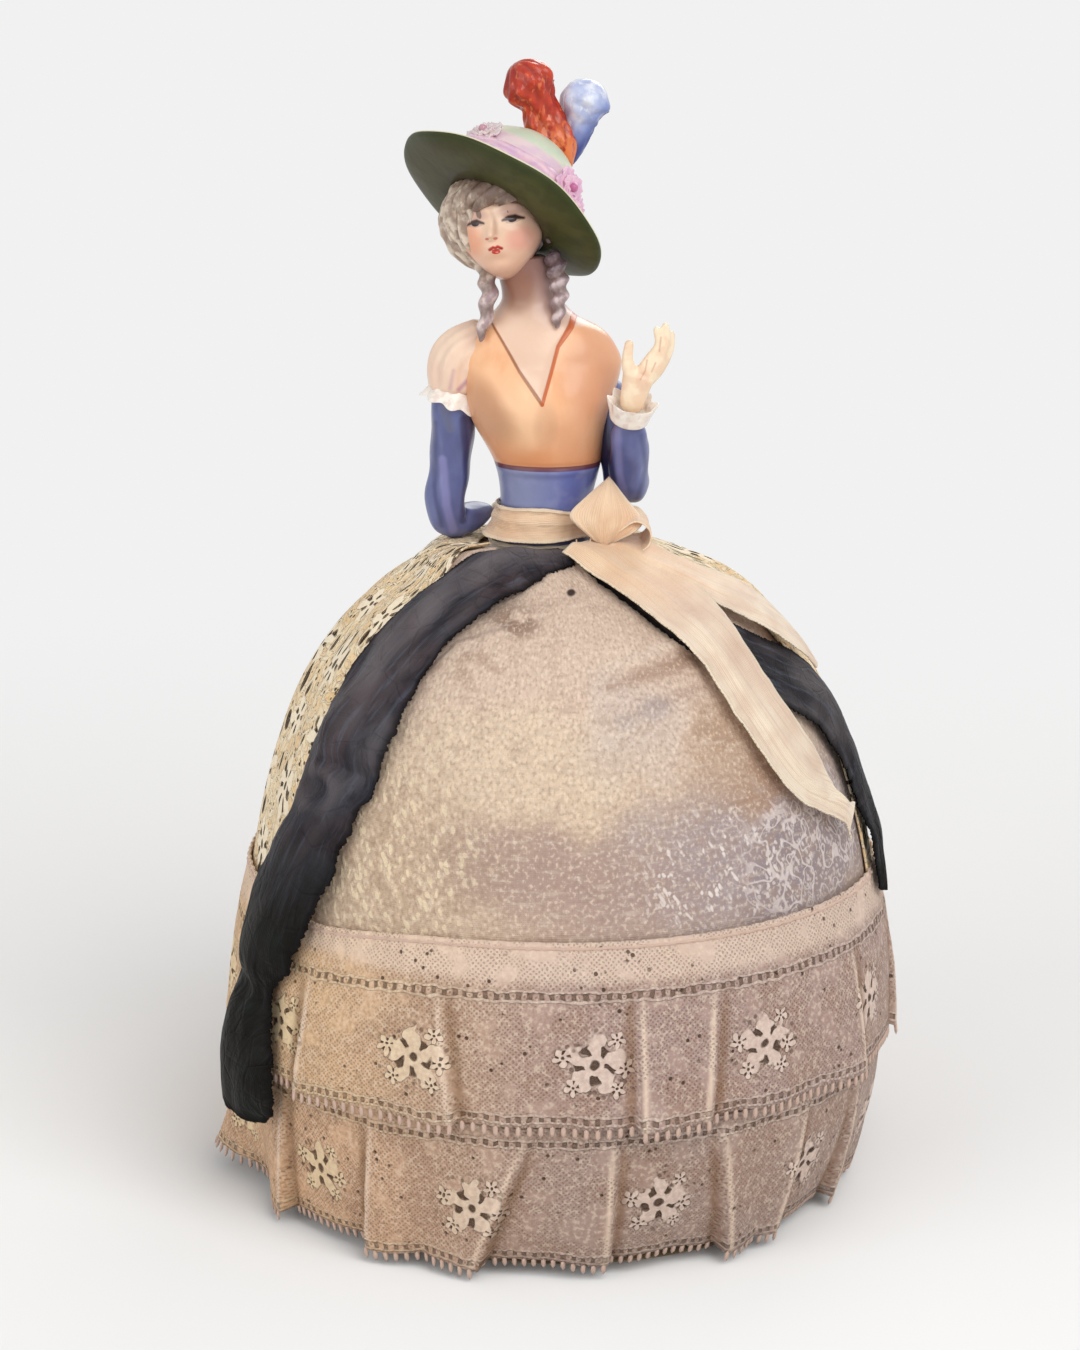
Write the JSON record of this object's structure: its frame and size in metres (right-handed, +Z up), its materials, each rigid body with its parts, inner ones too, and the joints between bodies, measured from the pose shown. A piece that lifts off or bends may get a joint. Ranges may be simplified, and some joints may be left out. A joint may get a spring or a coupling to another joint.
{
  "type": "half doll pincushion",
  "caption": "Porcelain lady in a brimmed hat, sewn to a stuffed dome cushion that silk, tiered lace flounces and ribbon bows dress as her skirt.",
  "frame": {"origin": "centre of the base cloth's underside, on the surface that the pincushion stands on", "axes": "+Z up through the cushion, the doll faces -Y, and +X is the side of her raised hand and the bow"},
  "size_m": [0.1556, 0.1492, 0.2499],
  "materials": {
    "base_cloth": "plain weave, dull",
    "card": "dull grey-brown board",
    "stuffing": "packed wadding",
    "cover_cloth": "plain weave, dull",
    "panel_silk": "aged silk with small pale sprigs, soft sheen",
    "gold_lace": "openwork cream-gold lace",
    "flounce_lace": "beige flowered net lace with a picot edge",
    "black_silk": "crumpled silk, soft sheen",
    "cream_ribbon": "ribbed cream ribbon, soft sheen",
    "thread": "twisted thread",
    "bodice_glaze": "glossy peach glaze",
    "face_glaze": "glossy skin-coloured glaze with painted features",
    "hair_glaze": "glossy powdered grey glaze",
    "hat_glaze": "glossy olive glaze under a pale crown",
    "band_glaze": "glossy pink and lilac glaze",
    "rose_glaze": "glossy pink glaze",
    "red_glaze": "glossy orange-red glaze",
    "pale_blue_glaze": "glossy pale blue glaze",
    "blue_glaze": "glossy periwinkle blue glaze",
    "cap_sleeve_glaze": "glossy pink-cream glaze",
    "frill_glaze": "glossy white glaze",
    "skin_glaze": "glossy cream glaze"
  },
  "bodies": {
    "root": {"base_cloth": "base_cloth", "base_card": "card", "cushion_stuffing": "stuffing", "cushion_cover": "cover_cloth", "front_panel": "panel_silk", "lace_overskirt": "gold_lace", "lower_flounce": "flounce_lace", "upper_flounce": "flounce_lace", "black_ribbon_left": "black_silk", "black_ribbon_right": "black_silk", "sash_tail_long": "cream_ribbon", "sash_tail_short": "cream_ribbon", "bust": "bodice_glaze", "flange_stitch_1": "thread", "flange_stitch_2": "thread", "flange_stitch_3": "thread", "flange_stitch_4": "thread", "head": "face_glaze", "hair": "hair_glaze", "ringlet_right": "hair_glaze", "ringlet_left": "hair_glaze", "hat": "hat_glaze", "hat_band": "band_glaze", "hat_rose_large": "rose_glaze", "hat_rose_small": "rose_glaze", "hat_flower_white": "frill_glaze", "plume_red": "red_glaze", "plume_blue": "pale_blue_glaze", "lowered_arm": "blue_glaze", "lowered_sleeve": "cap_sleeve_glaze", "sleeve_frill": "frill_glaze", "lowered_hand": "skin_glaze", "raised_arm": "blue_glaze", "raised_hand": "skin_glaze", "raised_cuff": "frill_glaze", "waist_sash": "cream_ribbon", "waist_thread": "thread", "bow_knot": "cream_ribbon", "bow_loops": "cream_ribbon"}
  },
  "joints": []
}
